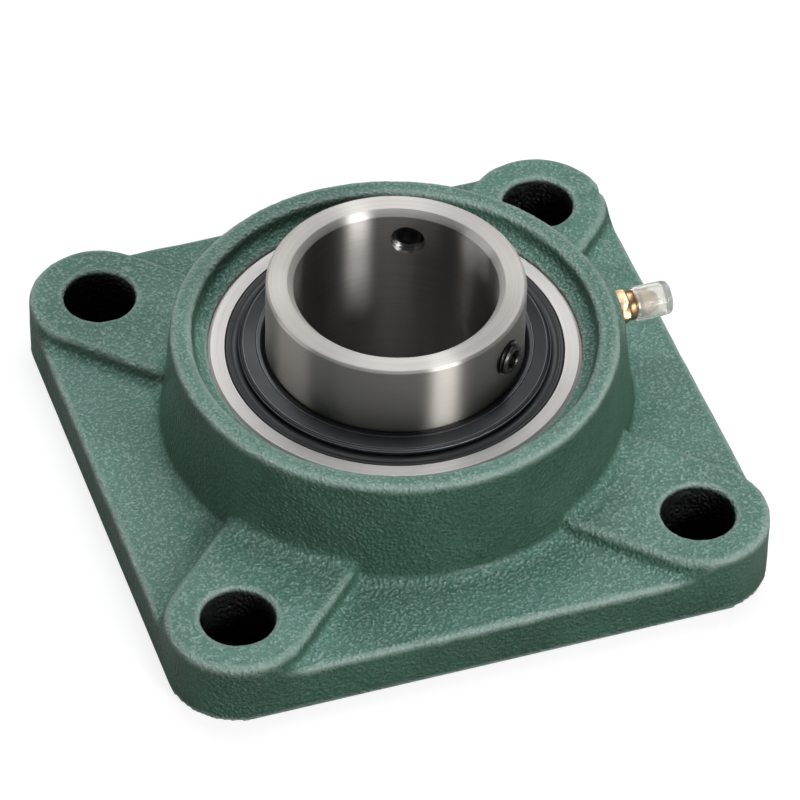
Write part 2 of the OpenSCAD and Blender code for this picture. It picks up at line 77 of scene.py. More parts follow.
def ladder(radius: float, low: float, high: float, rungs: int) -> list[Point]:
    """Points up a straight wall between two heights, close enough to carry a thread."""
    return [(radius, low + (high - low) * i / rungs) for i in range(rungs + 1)]


def lift(height: float) -> Matrix:
    """Gives the move up the axis by a height in millimetres."""
    return Matrix.Translation((0, 0, height))


def heading(angle: float) -> Matrix:
    """Gives the turn round the axis by an angle in degrees."""
    return Matrix.Rotation(math.radians(angle), 4, "Z")


class Shape:
    """A mesh in the making, in millimetres, worked with bmesh operators."""

    def __init__(self) -> None:
        """Starts an empty shape."""
        self.bm = bmesh.new()

    @classmethod
    def taken(cls, data: bpy.types.Mesh, place: Matrix = Matrix.Identity(4)) -> "Shape":
        """Takes a mesh in metres for more work.

        Args:
            data: The mesh.
            place: Where it stands, in metres.

        Returns:
            The shape, in millimetres.
        """
        shape = cls()
        shape.bm.from_mesh(data)
        bmesh.ops.transform(shape.bm, matrix=place, verts=shape.bm.verts)
        bmesh.ops.scale(shape.bm, vec=(1 / MM, 1 / MM, 1 / MM), verts=shape.bm.verts)
        return shape

    @classmethod
    def turned(cls, profile: Sequence[Point], steps: int = 160, closed: bool = True) -> "Shape":
        """Turns a profile round Z, as on a lathe.

        Args:
            profile: Points as distance from the axis and height.
            steps: Number of steps in the full turn.
            closed: Whether the last point joins the first, as it does for a ring.

        Returns:
            The turned shape with outward normals.
        """
        shape = cls()
        bm = shape.bm
        verts = [bm.verts.new((r, 0.0, z)) for r, z in profile]
        pairs = list(zip(verts, verts[1:])) + ([(verts[-1], verts[0])] if closed else [])
        edges = [bm.edges.new(pair) for pair in pairs]
        bmesh.ops.spin(
            bm, geom=verts + edges, cent=(0, 0, 0), axis=(0, 0, 1), angle=math.tau, steps=steps,
            use_merge=True,
        )
        return shape.close()

    @classmethod
    def rod(
        cls, radius: float, low: float, high: float, sides: int = 48, top: Optional[float] = None
    ) -> "Shape":
        """A round or many-sided rod along Z.

        Args:
            radius: Radius to the corners.
            low: Height of its lower end.
            high: Height of its upper end.
            sides: Number of sides.
            top: Radius at the upper end, where it differs.

        Returns:
            The capped rod.
        """
        shape = cls()
        bmesh.ops.create_cone(
            shape.bm, cap_ends=True, segments=sides, radius1=radius, radius2=radius if top is None else top,
            depth=high - low, matrix=lift((low + high) / 2),
        )
        return shape.close()

    def close(self) -> "Shape":
        """Merges doubles and turns the faces outwards.

        Returns:
            The same shape.
        """
        bmesh.ops.remove_doubles(self.bm, verts=self.bm.verts, dist=1e-4)
        bmesh.ops.recalc_face_normals(self.bm, faces=self.bm.faces)
        return self

    def soften(self, width: float, segments: int = 2, sharper_than: float = 28.0) -> "Shape":
        """Breaks the sharp edges.

        Args:
            width: Width of each bevel.
            segments: Number of faces across it.
            sharper_than: Least angle of an edge that is broken, in degrees.

        Returns:
            The same shape.
        """
        limit = math.radians(sharper_than)
        edges = [
            e for e in self.bm.edges if len(e.link_faces) == 2 and e.calc_face_angle(0.0) > limit
        ]
        bmesh.ops.bevel(
            self.bm, geom=edges, offset=width, offset_type="OFFSET", segments=segments, profile=0.5,
            affect="EDGES", clamp_overlap=True, material=-1,
        )
        return self.close()

    def thread(self, radius: float, pitch: float, depth: float, low: float, high: float) -> "Shape":
        """Presses a helical thread into a round wall.

        Args:
            radius: The wall's radius.
            pitch: Rise of the thread in one turn.
            depth: Depth of the thread, inwards; a negative depth grows outwards.
            low: Height where the thread starts.
            high: Height where it ends.

        Returns:
            The same shape.
        """
        for vert in self.bm.verts:
            reach = math.hypot(vert.co.x, vert.co.y)
            if abs(reach - radius) > 1e-3 or not low < vert.co.z < high:
                continue
            turn = vert.co.z / pitch - math.atan2(vert.co.y, vert.co.x) / math.tau
            wave = 0.5 - 0.5 * math.cos(math.tau * turn)
            ease = min(1.0, (vert.co.z - low) / pitch, (high - vert.co.z) / pitch)
            vert.co.xy *= 1.0 - depth * wave * ease / reach
        return self

    def placed(self, matrix: Matrix) -> "Shape":
        """Moves and turns the shape.

        Args:
            matrix: The move, in millimetres. One that mirrors turns the faces over again.

        Returns:
            The same shape.
        """
        bmesh.ops.transform(self.bm, matrix=matrix, verts=self.bm.verts)
        if matrix.determinant() < 0:
            bmesh.ops.reverse_faces(self.bm, faces=self.bm.faces)
        return self

    def mesh(self, name: str) -> bpy.types.Mesh:
        """Hands the shape over as a mesh in metres.

        Args:
            name: The mesh's name.

        Returns:
            The mesh. The shape can't be worked any more.
        """
        bmesh.ops.scale(self.bm, vec=(MM, MM, MM), verts=self.bm.verts)
        data = bpy.data.meshes.new(name)
        self.bm.to_mesh(data)
        self.bm.free()
        return data


def stand(name: str, data: Any) -> bpy.types.Object:
    """Puts a mesh, a lamp or a camera into the scene.

    Args:
        name: The object's name.
        data: What it shows.

    Returns:
        The new object.
    """
    thing = bpy.data.objects.new(name, data)
    bpy.context.scene.collection.objects.link(thing)
    return thing


def worked(blank: bpy.types.Object, tools: Sequence[bpy.types.Object] = ()) -> Shape:
    """Takes an object back as a shape, with its modifiers applied.

    Args:
        blank: The object. It is removed.
        tools: Objects that its modifiers use. They are removed too.

    Returns:
        The shape, in millimetres.
    """
    done = blank.evaluated_get(bpy.context.evaluated_depsgraph_get())
    shape = Shape.taken(done.to_mesh())
    done.to_mesh_clear()
    for thing in (blank, *tools):
        data = thing.data
        bpy.data.objects.remove(thing)
        bpy.data.meshes.remove(data)
    return shape


class Cut(Enum):
    """What a second shape does to the first."""

    AWAY = "DIFFERENCE"
    ON = "UNION"
    COMMON = "INTERSECT"


def combine(first: Shape, others: Iterable[tuple[Cut, Shape]]) -> Shape:
    """Cuts shapes out of a shape or joins them to it.

    Args:
        first: The shape that is worked.
        others: What each other shape does, and the shape.

    Returns:
        One closed shape in millimetres.
    """
    blank, tools = stand("blank", first.mesh("blank")), []
    for how, shape in others:
        tools.append(stand("tool", shape.mesh("tool")))
        modifier = blank.modifiers.new("cut", "BOOLEAN")
        modifier.operation = how.value
        modifier.solver = "EXACT"
        modifier.object = tools[-1]
    return worked(blank, tools)


# --- Shader groups ---


def srgb(code: str) -> Colour:
    """Turns a hex colour, as a screen shows it, into Blender's linear colour.

    Args:
        code: Six hex digits after a #.

    Returns:
        Red, green, blue and an alpha of 1.
    """
    parts = [int(code[i:i + 2], 16) / 255 for i in (1, 3, 5)]
    red, green, blue = (c / 12.92 if c <= 0.04045 else ((c + 0.055) / 1.055) ** 2.4 for c in parts)
    return (red, green, blue, 1.0)


class Graph:
    """Adds nodes to one node tree, each with its values and links at once."""

    def __init__(self, tree: bpy.types.NodeTree) -> None:
        """Takes the node tree of a material, a group or the world."""
        self.tree = tree

    def add(self, kind: str, values: Optional[dict[Any, Any]] = None, **settings: Any) -> bpy.types.Node:
        """Adds a node.

        Args:
            kind: The node's type name after ShaderNode.
            values: Input sockets by name or number, each with a value or a socket to link.
            settings: The node's own settings.

        Returns:
            The new node.
        """
        node = self.tree.nodes.new("ShaderNode" + kind)
        for key, value in settings.items():
            setattr(node, key, value)
        return self.fill(node, values or {})

    def fill(self, node: bpy.types.Node, values: dict[Any, Any]) -> bpy.types.Node:
        """Sets or links several inputs of a node.

        Args:
            node: The node.
            values: As in add.

        Returns:
            The same node.
        """
        for key, value in values.items():
            if isinstance(value, Socket):
                self.tree.links.new(value, node.inputs[key])
            else:
                node.inputs[key].default_value = value
        return node

    def math(self, how: str, *values: Any) -> Socket:
        """Adds a Math node on numbers or sockets and gives its output."""
        return self.add("Math", dict(enumerate(values)), operation=how).outputs[0]

    def plus(self, first: Any, second: Any) -> Socket:
        """Adds two numbers or sockets."""
        return self.math("ADD", first, second)

    def times(self, first: Any, second: Any) -> Socket:
        """Multiplies two numbers or sockets."""
        return self.math("MULTIPLY", first, second)

    def length(self, x: Any, y: Any) -> Socket:
        """Gives the length of a step from its two parts."""
        return self.math("SQRT", self.plus(self.times(x, x), self.times(y, y)))

    def blend(self, factor: Any, first: Any, second: Any) -> Socket:
        """Mixes a share of a second colour into a first, each a hex code, a colour or a socket."""
        first, second = (srgb(c) if isinstance(c, str) else c for c in (first, second))
        return self.add("Mix", {0: factor, 6: first, 7: second}, data_type="RGBA").outputs[2]

    def span(
        self, value: Socket, low: float, high: float, out_low: float = 0.0, out_high: float = 1.0
    ) -> Socket:
        """Maps the range from low to high to another, smoothly and clamped."""
        values = {"Value": value, "From Min": low, "From Max": high, "To Min": out_low, "To Max": out_high}
        return self.add("MapRange", values, interpolation_type="SMOOTHSTEP").outputs[0]

    def place(self, kind: str = "Object") -> Socket:
        """Gives the texture coordinates of a kind, in metres for Object."""
        return self.add("TexCoord").outputs[kind]

    def parts(self, vector: Socket) -> Sequence[Socket]:
        """Gives a vector's x, y and z."""
        return self.add("SeparateXYZ", {0: vector}).outputs

    def noise(self, place: Socket, scale: Any, detail: float = 2.0, **more: float) -> Socket:
        """Gives a noise texture's value."""
        return self.add("TexNoise", {"Vector": place, "Scale": scale, "Detail": detail, **more}).outputs[0]

    def bump(self, height: Socket, strength: float, depth: float) -> Socket:
        """Gives the normal, bent by a height that spans a depth in metres."""
        return self.add("Bump", {"Height": height, "Strength": strength, "Distance": depth}).outputs[0]

    def group(self, kind: "Effect", **values: Any) -> Any:
        """Places one of the shared effects.

        Args:
            kind: The effect.
            values: Its inputs by name.

        Returns:
            Its outputs, by name.
        """
        node = self.tree.nodes.new("ShaderNodeGroup")
        node.node_tree = EffectShelf.get(kind)
        return self.fill(node, values).outputs


class Effect(Enum):
    """Surface effects that several finishes share, with the names of their inputs."""

    CAST_SKIN = ("Vector", "Grain", "Sag")
    TURNING_LINES = ("Vector", "Lines", "Length")
    HANDLING = ("Vector", "Size", "Amount")
    EDGE_LIGHT = ("Low", "High")


class EffectShelf:
    """Builds each shared effect once and hands out its node group."""

    made: dict[Effect, bpy.types.NodeTree] = {}

    @classmethod
    def get(cls, kind: Effect) -> bpy.types.NodeTree:
        """Gives an effect's node group and builds it the first time.

        Args:
            kind: The effect.

        Returns:
            Its shader node group.
        """
        if kind not in cls.made:
            name = kind.name.lower()
            tree = cls.made[kind] = bpy.data.node_groups.new(name, "ShaderNodeTree")
            for key in kind.value:
                sort = "NodeSocketVector" if key == "Vector" else "NodeSocketFloat"
                tree.interface.new_socket(key, in_out="INPUT", socket_type=sort)
            g = Graph(tree)
            results = getattr(cls, "_" + name)(g, tree.nodes.new("NodeGroupInput").outputs)
            for key in results:
                tree.interface.new_socket(key, in_out="OUTPUT", socket_type="NodeSocketFloat")
            g.fill(tree.nodes.new("NodeGroupOutput"), results)
        return cls.made[kind]

    @staticmethod
    def _cast_skin(g: Graph, given: Any) -> dict[str, Socket]:
        """Pebbled skin of a sand casting under enamel: height, bright specks that the enamel paints as
        glints, and slow tone.

        Args:
            g: The group's graph.
            given: The group's inputs by name.

        Returns:
            Its results by name.
        """
        place, grain = given["Vector"], given["Grain"]
        pebble = g.add("TexVoronoi", {
            "Vector": place, "Scale": grain, "Smoothness": 0.8, "Randomness": 1.0,
        }, feature="SMOOTH_F1")
        fine = g.noise(place, g.times(grain, 1.6), 4.0, Roughness=0.6)
        slow = g.noise(place, given["Sag"])
        dome = g.span(pebble.outputs["Distance"], 0.05, 0.75, 1.0, 0.0)
        height = g.plus(g.plus(g.times(dome, 0.55), g.times(fine, 0.9)), g.times(slow, 0.6))
        specks = g.span(g.plus(g.times(dome, 0.2), fine), 0.54, 0.77)
        return {"Height": height, "Speck": specks, "Tone": slow}

    @staticmethod
    def _turning_lines(g: Graph, given: Any) -> dict[str, Socket]:
        """Fine lines round the Z axis, on faces and walls alike: height and streak.

        Args:
            g: The group's graph.
            given: The group's inputs by name.

        Returns:
            Its results by name.
        """
        x, y, z = g.parts(given["Vector"])
        across = g.times(g.plus(g.length(x, y), g.times(z, 1.37)), given["Lines"])
        along = {0: g.times(x, given["Length"]), 1: g.times(y, given["Length"])}
        track = g.add("CombineXYZ", {**along, 2: across}).outputs[0]
        broad = g.add("CombineXYZ", {**along, 2: g.times(across, 0.12)}).outputs[0]
        fine, wide = g.noise(track, 1.0, Roughness=0.7), g.noise(broad, 1.0, 1.0)
        return {"Height": fine, "Streak": g.plus(g.times(fine, 0.8), g.times(wide, 0.2))}

    @staticmethod
    def _handling(g: Graph, given: Any) -> dict[str, Socket]:
        """Smears of oil and dust from handling: one soft mask."""
        cloud = g.noise(given["Vector"], given["Size"], 4.0, Distortion=0.6)
        return {"Mask": g.times(g.span(cloud, 0.42, 0.68), given["Amount"])}

    @staticmethod
    def _edge_light(g: Graph, given: Any) -> dict[str, Socket]:
        """Where the surface turns outwards: the mask for painted highlights along edges.

        Args:
            g: The group's graph.
            given: The group's inputs by name.

        Returns:
            Its results by name.
        """
        turn, low = g.add("NewGeometry").outputs["Pointiness"], given["Low"]
        share = g.math("DIVIDE", g.math("SUBTRACT", turn, low), g.math("SUBTRACT", given["High"], low))
        return {"Mask": g.math("MINIMUM", g.math("MAXIMUM", share, 0.0), 1.0)}


# --- Finishes ---


def emptied(owner: Any) -> Graph:
    """Clears the node tree of a material or a world.

    Args:
        owner: The material or the world.

    Returns:
        The empty tree's graph.
    """
    owner.use_nodes = True
    owner.node_tree.nodes.clear()
    return Graph(owner.node_tree)


class Finish:
    """A finish that knows how to make its material."""

    name: str

    def paint(self, g: Graph) -> dict[str, Any]:
        """Wires the finish and gives the Principled shader's inputs by name."""
        raise NotImplementedError

    def material(self) -> bpy.types.Material:
        """Makes the material, or gives the one that was made before.

        Returns:
            The material.
        """
        if self.name in bpy.data.materials:
            return bpy.data.materials[self.name]
        made = bpy.data.materials.new(self.name)
        made.use_nodes = True
        shader = next(n for n in made.node_tree.nodes if n.type == "BSDF_PRINCIPLED")
        g = Graph(made.node_tree)
        g.fill(shader, self.paint(g))
        return made


@dataclass(frozen=True)
class CastEnamel(Finish):
    """Green enamel over a pebbled sand casting, with painted light and shade, and its machined mounting
    face left bare.
    """

    name: str = "cast_enamel_green"
    # top faces take the first colour, lighter as painted light; side faces take the second, darker as
    # painted shade
    base: str = "#5b8a7b"
    wall: str = "#29513f"
    # colour of the painted glints
    light: str = "#b2cec6"
    dark: str = "#3f6e5c"
    # colour of the painted highlight along outward edges
    edge: str = "#b3c7be"
    # near-black colour inside the bolt holes: painted shade
    hole_shade: str = "#070a08"
    bare: str = "#8d8f8e"
    cutter: str = "#6c6f70"
    grain: float = 1200.0
    bolt_place: float = 0.0525  # bolt holes along x and y, in metres as all that follows
    bolt_r: float = 0.0082
    pad_top: float = 0.0146
    machined: float = 0.00004  # below this height the face is bare
    depth: float = 0.0009

    def paint(self, g: Graph) -> dict[str, Any]:
        """Enamel with specks lightened as painted glints, sides darker than tops as painted shade, edges
        lightened as painted highlights, bolt holes near black as painted shade, and the bare face.

        Args:
            g: The material's graph.

        Returns:
            The Principled shader's inputs by name.
        """
        place = g.place()
        skin = g.group(Effect.CAST_SKIN, Vector=place, Grain=self.grain, Sag=55.0)
        edge = g.group(Effect.EDGE_LIGHT, Low=0.507, High=0.54)["Mask"]
        dust = g.group(Effect.HANDLING, Vector=place, Size=38.0, Amount=0.5)["Mask"]
        # painted shade: the colour goes from the darker side tone to the lighter top tone as a face turns
        # upwards
        facing_up = g.span(g.parts(g.place("Normal"))[2], 0.25, 0.9)
        plain = g.blend(facing_up, self.wall, self.base)
        tone = g.blend(g.span(skin["Tone"], 0.35, 0.65), self.dark, plain)
        # painted glints: bright specks, strong on top faces and faint on the sides
        painted_glint = g.times(skin["Speck"], g.span(facing_up, 0.0, 1.0, 0.07, 0.6))
        glinted = g.blend(painted_glint, g.blend(0.6, tone, plain), self.light)
        # painted highlight along outward edges
        edge_lit = g.blend(g.times(edge, 0.7), glinted, self.edge)
        x, y, height = g.parts(place)
        bottom = g.math("LESS_THAN", height, self.machined)
        lines = g.group(Effect.TURNING_LINES, Vector=place, Lines=1800.0, Length=20.0)
        milled = g.blend(lines["Streak"], self.bare, self.cutter)
        # painted shade: the bolt holes' walls below the pad tops are painted near black
        off = [g.math("SUBTRACT", g.math("ABSOLUTE", part), self.bolt_place) for part in (x, y)]
        inside = g.span(g.length(*off), self.bolt_r, self.bolt_r + 0.0004, 1.0, 0.0)
        bored = g.times(inside, g.span(height, self.pad_top, self.pad_top + 0.001, 1.0, 0.0))
        return {
            "Base Color": g.blend(bottom, g.blend(bored, edge_lit, self.hole_shade), milled),
            "Roughness": g.plus(0.3, g.times(dust, 0.2)), "Metallic": g.times(bottom, 0.9),
            "Normal": g.bump(skin["Height"], 0.9, self.depth), "Specular IOR Level": 0.5,
            "Coat Weight": 0.15, "Coat Roughness": 0.22,
        }


@dataclass(frozen=True)
class GroundSteel(Finish):
    """Bearing steel, turned and ground, with its lines round the shaft axis."""

    name: str
    colour: str = "#b6b2ae"
    shade: str = "#9e9995"
    # darker colour used for oil smears, and for the outer walls as painted shade
    oil_and_shade: str = "#8a857e"
    rough: float = 0.34
    face_rough: float = 0.42
    stretch: float = 1.0
    bore_to: float = 0.0262
    lines: float = 5200.0
    depth: float = 0.000006

    def paint(self, g: Graph) -> dict[str, Any]:
        """Ground steel with its lay, oil smears, and outer walls darkened as painted shade.

        Args:
            g: The material's graph.

        Returns:
            The Principled shader's inputs by name.
        """
        place = g.place()
        lines = g.group(Effect.TURNING_LINES, Vector=place, Lines=self.lines, Length=16.0)
        oil = g.group(Effect.HANDLING, Vector=place, Size=60.0, Amount=0.35)["Mask"]
        streak = g.span(lines["Streak"], 0.3, 0.7)
        colour = g.blend(g.times(streak, 0.5), self.colour, self.shade)
        level = g.math("ABSOLUTE", g.parts(g.place("Normal"))[2])
        lay = g.span(level, 0.5, 0.9, self.rough, self.face_rough)
        # painted shade: the outer walls beyond the bore take the darker colour
        beyond = g.math("GREATER_THAN", g.length(*g.parts(place)[:2]), self.bore_to)
        outside = g.times(beyond, g.span(level, 0.3, 0.8, 0.55, 0.0))
        ground = g.blend(outside, colour, self.oil_and_shade)
        return {
            "Base Color": g.blend(g.times(oil, 0.3), ground, self.oil_and_shade),
            "Roughness": g.plus(lay, g.times(streak, 0.06)), "Metallic": 1.0,
            "Normal": g.bump(lines["Height"], 0.5, self.depth),
            "Anisotropic": self.stretch, "Anisotropic Rotation": 0.25,
            "Tangent": g.add("Tangent", direction_type="RADIAL", axis="Z").outputs[0],
        }


@dataclass(frozen=True)
class PlainMetal(Finish):
    """A metal with no lay of its own: chrome, pressed sheet, plating or black oxide."""

    name: str
    colour: str
    shade: str
    rough: float = 0.25
    metallic: float = 1.0
    patch: float = 160.0
    grain: float = 6000.0
    depth: float = 0.00001
    # share and colour of the painted highlight along outward edges
    edge: float = 0.3
    edge_highlight_colour: str = "#d9d6d2"

    def paint(self, g: Graph) -> dict[str, Any]:
        """Metal with its patches, fine grain and edges lightened as a painted highlight.

        Args:
            g: The material's graph.

        Returns:
            The Principled shader's inputs by name.
        """
        place = g.place()
        marks = g.group(Effect.HANDLING, Vector=place, Size=self.patch, Amount=1.0)["Mask"]
        edge = g.group(Effect.EDGE_LIGHT, Low=0.52, High=0.62)["Mask"]
        colour = g.blend(g.times(marks, 0.7), self.colour, self.shade)
        # painted highlight along outward edges
        return {
            "Base Color": g.blend(g.times(edge, self.edge), colour, self.edge_highlight_colour),
            "Roughness": g.plus(self.rough, g.times(marks, 0.12)), "Metallic": self.metallic,
            "Normal": g.bump(g.noise(place, self.grain), 0.4, self.depth),
        }


@dataclass(frozen=True)
class BlackCoat(Finish):
    """Blue-black coat on the slingers and rubber on the seals, with fine moulded circles and painted
    highlight rings.
    """

    name: str
    colour: str = "#17191d"
    shade: str = "#23262d"
    dust: str = "#3a3c40"
    rough: float = 0.34
    metallic: float = 0.0
    lines: float = 3600.0
    depth: float = 0.000012
    # radii in mm of the painted highlight rings, and their colour
    highlight_rings: tuple[float, ...] = ()
    ring_highlight_colour: str = "#80838a"

    def paint(self, g: Graph) -> dict[str, Any]:
        """Dark coat with dust, and bright rings at the bead tops as painted highlights.

        Args:
            g: The material's graph.

        Returns:
            The Principled shader's inputs by name.
        """
        place = g.place()
        lines = g.group(Effect.TURNING_LINES, Vector=place, Lines=self.lines, Length=30.0)
        dust = g.group(Effect.HANDLING, Vector=place, Size=90.0, Amount=0.6)["Mask"]
        plain = g.blend(lines["Streak"], self.colour, self.shade)
        colour = g.blend(g.times(dust, 0.25), plain, self.dust)
        radius = g.length(*g.parts(place)[:2])
        # painted highlights: bright rings at the given radii of the bead tops and rim
        for crest in self.highlight_rings:
            off = g.math("ABSOLUTE", g.math("SUBTRACT", radius, crest * MM))
            colour = g.blend(g.span(off, 0.00004, 0.00011, 0.8, 0.0), colour, self.ring_highlight_colour)
        return {
            "Base Color": colour, "Roughness": g.plus(self.rough, g.times(dust, 0.2)),
            "Metallic": self.metallic, "Normal": g.bump(lines["Height"], 0.4, self.depth),
            "Specular IOR Level": 0.5,
        }


@dataclass(frozen=True)
class MilkyPlastic(Finish):
    """Thin natural polyethylene that lets the nipple show through."""

    name: str = "milky_plastic"
    colour: str = "#fbfaf6"
    cloudy: str = "#e9e8e2"
    bending: float = 1.22
    clear: float = 0.78
    depth: float = 0.00002

    def paint(self, g: Graph) -> dict[str, Any]:
        """Cloudy plastic.

        Args:
            g: The material's graph.

        Returns:
            The Principled shader's inputs by name.
        """
        place = g.place()
        flow = g.group(Effect.HANDLING, Vector=place, Size=320.0, Amount=1.0)["Mask"]
        return {
            "Base Color": g.blend(flow, self.colour, self.cloudy),
            "Roughness": g.plus(0.1, g.times(flow, 0.1)), "Metallic": 0.0, "IOR": self.bending,
            "Transmission Weight": self.clear,
            "Normal": g.bump(g.noise(place, 1800.0), 0.2, self.depth),
        }


# --- Pieces ---


def show(
    data: bpy.types.Mesh, name: str, finish: Finish, body: str, node: str, angle: float
) -> bpy.types.Object:
    """Puts a finished piece into the scene.

    Args:
        data: Its mesh, in place and in metres.
        name: The piece's name.
        finish: Its finish.
        body: The body that it moves with.
        node: The CAD node that it stands for.
        angle: Edges sharper than this stay crisp, in degrees.

    Returns:
        The piece.
    """
    piece = stand(name, data)
    data.materials.clear()
    data.materials.append(finish.material())
    data.shade_smooth()
    data.set_sharp_from_angle(angle=math.radians(angle))
    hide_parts(node)
    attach(piece, body)
    log.info("%s: %d faces, rides on %s", name, len(data.polygons), body)
    return piece


def dress(finish: Finish, *nodes: str) -> None:
    """Gives CAD nodes that stay their finish.

    Args:
        finish: The finish.
        nodes: The nodes' names.
    """
    for node in nodes:
        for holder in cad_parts[node].material_slots:
            holder.material = finish.material()
    log.info("%s: solids kept, finished in %s", ", ".join(nodes), finish.name)


@dataclass
class Casting:
    """The cast housing, from its own solid: skin softened, seat and mounting face kept true."""

    finish: CastEnamel = CastEnamel()
    voxel: float = 0.8
    passes: int = 2
    seat_r: float = 42.6
    seat_half: float = 11.3
    near: float = 0.6
    wander: float = 0.16
    waves: tuple[float, float] = (0.11, 0.27)

    def skin(self) -> bpy.types.Mesh:
        """Remeshes the solid and smooths it as foundry sand would leave it.

        Returns:
            The skin's mesh, in metres.
        """
        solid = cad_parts["housing"]
        source = Shape.taken(solid.data, solid.matrix_world).close()
        blank = stand("blank", source.mesh("blank"))
        remesh = blank.modifiers.new("remesh", "REMESH")
        remesh.mode = "VOXEL"
        remesh.voxel_size = self.voxel * MM
        shape = worked(blank)
        self.smooth(shape)
        return shape.mesh("housing_skin")

    def smooth(self, shape: Shape) -> None:
        """Softens the skin, then trues the seat and the mounting face.

        Args:
            shape: The remeshed skin, in millimetres.
        """
        verts = list(shape.bm.verts)
        flat = [v for v in verts if v.co.z < 0.35 * self.voxel]
        for _ in range(self.passes):
            bmesh.ops.smooth_vert(
                shape.bm, verts=verts, factor=0.5, use_axis_x=True, use_axis_y=True, use_axis_z=True
            )
            for vert in flat:
                vert.co.z = 0.0
        centre = Vector((0, 0, SEAT_Z))
        for vert in verts:
            away = vert.co - centre
            near_seat = abs(away.z) < self.seat_half and away.length < self.seat_r + self.near
            if near_seat and away.length < self.seat_r:
                vert.co = centre + away.normalized() * self.seat_r
            elif vert.co.z > 0.5 and not near_seat:
                drift = noise.noise(vert.co * self.waves[0]) + 0.5 * noise.noise(vert.co * self.waves[1])
                vert.co -= vert.normal * self.wander * max(0.0, 0.5 + drift)

    def build(self) -> None:
        """Shows the housing."""
        show(self.skin(), "cast_housing", self.finish, "housing", "housing", 180.0)


@dataclass
class Rings:
    """The outer and inner ring, each turned from its ground profile."""

    bore_r: float = 22.5
    inner_r: float = 28.5
    inner_low: float = -19.0
    inner_high: float = 30.2
    bore_chamfer: float = 1.35
    inner_chamfer: float = 0.6
    race_r: float = 6.54
    inner_race: float = 32.67
    outer_race: float = 32.33
    sphere_r: float = 42.5
    land_r: float = 36.5
    recess_r: float = 37.5
    undercut_r: float = 38.0
    half_w: float = 11.0
    recess_z: float = 9.0
    rim_t: float = 0.52
    crest: float = 10.33
    face_r: float = 40.552
    groove_floor: float = 41.078
    groove_low: float = 6.5
    groove_high: float = 9.1
    way_r: float = 0.8
    way_z: float = 7.8
    way_angles: tuple[float, float] = (60.0, 240.0)
    screw_r: float = 3.71
    inner_finish: GroundSteel = GroundSteel("ground_steel_inner")
    outer_finish: GroundSteel = GroundSteel(
        "ground_steel_outer", colour="#b9b6b4", shade="#a6a2a0", rough=0.4, face_rough=0.42, stretch=0.95
    )

    def on_sphere(self, low: float, high: float, steps: int) -> list[Point]:
        """Points of the spherical outside between two heights from the bearing centre."""
        start, end = (math.degrees(math.asin(z / self.sphere_r)) for z in (low, high))
        return arc((0, 0), self.sphere_r, start, end, steps)

    def hole_cutter(self, angle: float) -> Shape:
        """Threaded tool for one set screw hole, with its countersink.

        Args:
            angle: Direction of the hole, in degrees from +X.

        Returns:
            The tool, in place.
        """
        r, start, mouth, end = self.screw_r, 20.0, 27.9, 29.5
        profile = [(0.0, start)] + ladder(r, start, mouth, 72) + [(r + end - mouth, end), (0.0, end)]
        tool = Shape.turned(profile, 56, closed=False).thread(r, 1.0, -0.42, start + 1, mouth + 0.3)
        return tool.placed(heading(angle) @ lift(SCREW_Z) @ LAID)

    def inner(self) -> None:
        """Shows the inner ring."""
        b, c, r, way_in = self.bore_r, self.inner_chamfer, self.inner_r, self.bore_chamfer
        low, high = self.inner_low, self.inner_high
        half = math.degrees(math.acos((self.inner_race - r) / self.race_r))
        profile = [(b + way_in, low), (r - c, low), (r, low + c)]
        profile += arc((self.inner_race, 0), self.race_r, 180 + half, 180 - half, 20)
        profile += [(r, high - c), (r - c, high), (b + way_in, high), (b, high - way_in)]
        profile += [(b, low + way_in)]
        blank = Shape.turned(profile, 192).soften(0.12, 3, 20.0).placed(lift(SEAT_Z))
        ring = combine(blank, [(Cut.AWAY, self.hole_cutter(a)) for a in SCREW_ANGLES.values()])
        show(ring.mesh("inner_ring"), "wide_inner_ring", self.inner_finish, "inner_ring",
             "inner_ring", 24.0)

    def outer(self) -> None:
        """Shows the outer ring."""
        half = math.degrees(math.acos((self.land_r - self.outer_race) / self.race_r))
        floor, top = self.recess_z, self.half_w
        side = [(self.land_r, floor), (self.undercut_r, floor), (self.undercut_r, floor + self.rim_t),
                (self.recess_r, floor + self.rim_t), (self.recess_r, top), (self.face_r, top)]
        outside = self.on_sphere(-self.crest, self.groove_low, 18)
        outside += [(self.groove_floor, self.groove_low), (self.groove_floor, self.groove_high)]
        outside += self.on_sphere(self.groove_high, self.crest, 3)
        profile = arc((self.outer_race, 0), self.race_r, -half, half, 20) + side
        profile += outside[::-1] + [(r, -z) for r, z in side[::-1]]
        blank = Shape.turned(profile, 192).placed(lift(SEAT_Z))
        drills = []
        for angle in self.way_angles:
            drill = Shape.rod(self.way_r, self.land_r - 1, self.sphere_r + 1, 24)
            drills.append((Cut.AWAY, drill.placed(lift(SEAT_Z + self.way_z) @ heading(angle) @ LAID)))
        ring = combine(blank, drills)
        show(ring.mesh("outer_ring"), "spherical_outer_ring", self.outer_finish, "outer_ring",
             "outer_ring", 24.0)

    def build(self) -> None:
        """Shows both rings."""
        self.outer()
        self.inner()


class Side(Enum):
    """The two sides of the bearing, each with the direction that it faces along Z."""

    FRONT = 1.0
    REAR = -1.0

    @property
    def word(self) -> str:
        """The side's word in the node names."""
        return self.name.lower()


